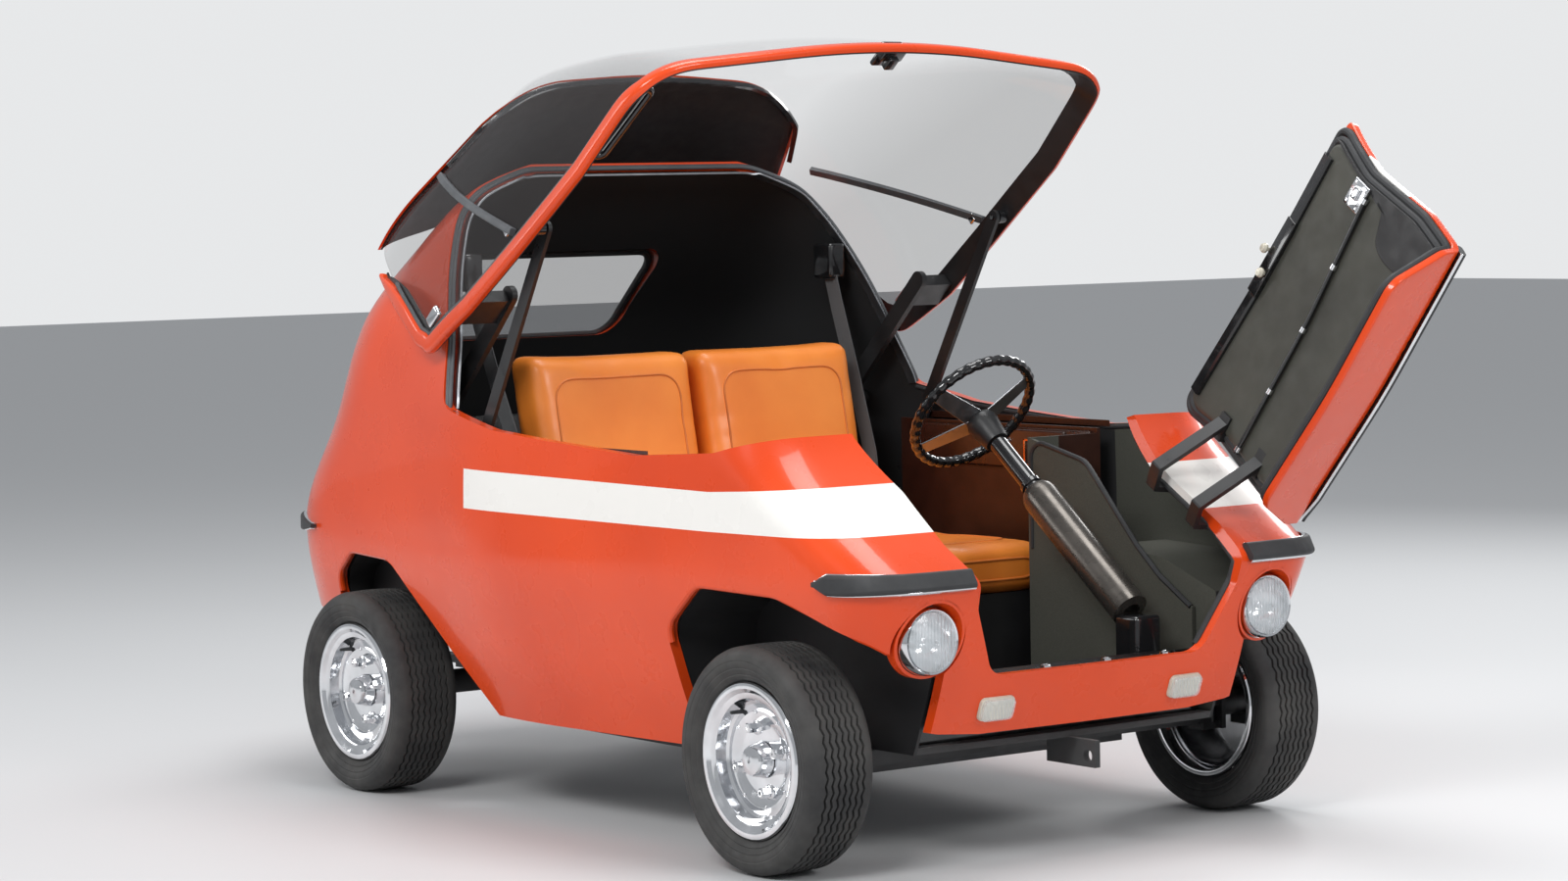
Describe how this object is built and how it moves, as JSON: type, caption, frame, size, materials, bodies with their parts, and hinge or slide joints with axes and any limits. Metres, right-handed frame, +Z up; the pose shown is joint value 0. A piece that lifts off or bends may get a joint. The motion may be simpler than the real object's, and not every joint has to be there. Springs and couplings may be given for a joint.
{
  "type": "electric microcar",
  "caption": "Small two-place electric car with a raised visor canopy, one front door hinged at its left, and steel wheels.",
  "frame": {"origin": "on the floor, under the middle of the box of the car with its canopy and door open", "axes": "+X forward, +Y to the left, +Z up"},
  "size_m": [2.5685, 1.194, 1.4522],
  "materials": {
    "paint": "gloss",
    "black_trim": "satin",
    "rubber": "matte",
    "tyre": "matte",
    "chrome": "polished",
    "lamp_glass": "clear",
    "red_lens": "gloss",
    "smoked_glass": "smoked",
    "liner": "matte",
    "trim": "grained",
    "leather": "satin",
    "carpet": "pile",
    "steel": "satin",
    "cast": "matte"
  },
  "bodies": {
    "root": {"nose": "paint", "fenders": "paint", "side_panels": "paint", "quarters": "paint", "tail_panel": "paint", "rear_roof": "paint", "rear_window": "smoked_glass", "hoop_seal": "rubber", "wheel_tubs": "black_trim", "floor_pan": "steel", "cabin_trim": "trim", "door_sill": "black_trim", "rear_shelf": "carpet", "headlamps": "lamp_glass", "turn_signals": "lamp_glass", "tail_lamps": "red_lens", "bumper_strips": "rubber", "canopy_pins": "steel", "hinge_lugs": "steel", "front_axle": "steel", "rear_axle": "cast", "rear_springs": "steel", "battery_pack": "cast", "seat_base": "black_trim", "seat_cushions": "leather", "seat_backs": "leather", "steering_column": "steel"},
    "canopy": {"canopy_rail": "paint", "canopy_roof": "paint", "canopy_liner": "liner", "canopy_glass": "smoked_glass", "canopy_arms": "steel", "canopy_fittings": "steel"},
    "lift_bar_left": {"lift_bar_left": "steel"},
    "lift_bar_right": {"lift_bar_right": "steel"},
    "front_door": {"door_outer": "paint", "door_inner": "trim", "door_strip": "rubber", "door_hinges": "steel", "door_fittings": "chrome"},
    "steering": {"steering_wheel": "black_trim"},
    "knuckle_left": {"knuckle_left": "steel"},
    "knuckle_right": {"knuckle_right": "steel"},
    "wheel_front_left": {"tyre_front_left": "tyre", "rim_front_left": "chrome"},
    "wheel_front_right": {"tyre_front_right": "tyre", "rim_front_right": "chrome"},
    "wheel_rear_left": {"tyre_rear_left": "tyre", "rim_rear_left": "chrome"},
    "wheel_rear_right": {"tyre_rear_right": "tyre", "rim_rear_right": "chrome"}
  },
  "joints": [
    {"name": "canopy_hinge", "type": "hinge", "parent": "root", "child": "canopy", "pos_m": [-0.5, 0, 0.734], "axis": [0, 1, 0], "range_deg": [0, 39.3]},
    {"name": "front_door_hinge", "type": "hinge", "parent": "root", "child": "front_door", "pos_m": [0.745, 0.385, 0.581], "axis": [0.8515, -0.0431, -0.5225], "range_deg": [0, 97.1]},
    {"name": "steering_turn", "type": "hinge", "parent": "root", "child": "steering", "pos_m": [0.245, 0.225, 0.743], "axis": [-0.7848, 0, 0.6198], "range_deg": [-300, 300]},
    {"name": "lift_bar_left_pivot", "type": "hinge", "parent": "canopy", "child": "lift_bar_left", "pos_m": [-0.05279, 0.532, 1.1065], "axis": [0, 1, 0], "range_deg": [-1, 5]},
    {"name": "steer_left", "type": "hinge", "parent": "root", "child": "knuckle_left", "pos_m": [0.6055, 0.47, 0.198], "axis": [0, 0, 1], "range_deg": [-25, 25]},
    {"name": "lift_bar_right_pivot", "type": "hinge", "parent": "canopy", "child": "lift_bar_right", "pos_m": [-0.05279, -0.532, 1.1065], "axis": [0, 1, 0], "range_deg": [-1, 5]},
    {"name": "steer_right", "type": "hinge", "parent": "root", "child": "knuckle_right", "pos_m": [0.6055, -0.47, 0.198], "axis": [0, 0, 1], "range_deg": [-25, 25]},
    {"name": "spin_front_left", "type": "hinge", "parent": "knuckle_left", "child": "wheel_front_left", "pos_m": [0.6055, 0.521, 0.198], "axis": [0, 1, 0], "continuous": true},
    {"name": "spin_front_right", "type": "hinge", "parent": "knuckle_right", "child": "wheel_front_right", "pos_m": [0.6055, -0.521, 0.198], "axis": [0, 1, 0], "continuous": true},
    {"name": "spin_rear_left", "type": "hinge", "parent": "root", "child": "wheel_rear_left", "pos_m": [-0.7155, 0.521, 0.198], "axis": [0, 1, 0], "continuous": true},
    {"name": "spin_rear_right", "type": "hinge", "parent": "root", "child": "wheel_rear_right", "pos_m": [-0.7155, -0.521, 0.198], "axis": [0, 1, 0], "continuous": true}
  ],
  "couplings": [
    {"joint": "lift_bar_left_pivot", "follows": "canopy_hinge", "ratio": 0.102},
    {"joint": "lift_bar_right_pivot", "follows": "canopy_hinge", "ratio": 0.102},
    {"joint": "steer_left", "follows": "steering_turn", "ratio": 0.083333},
    {"joint": "steer_right", "follows": "steering_turn", "ratio": 0.083333}
  ]
}
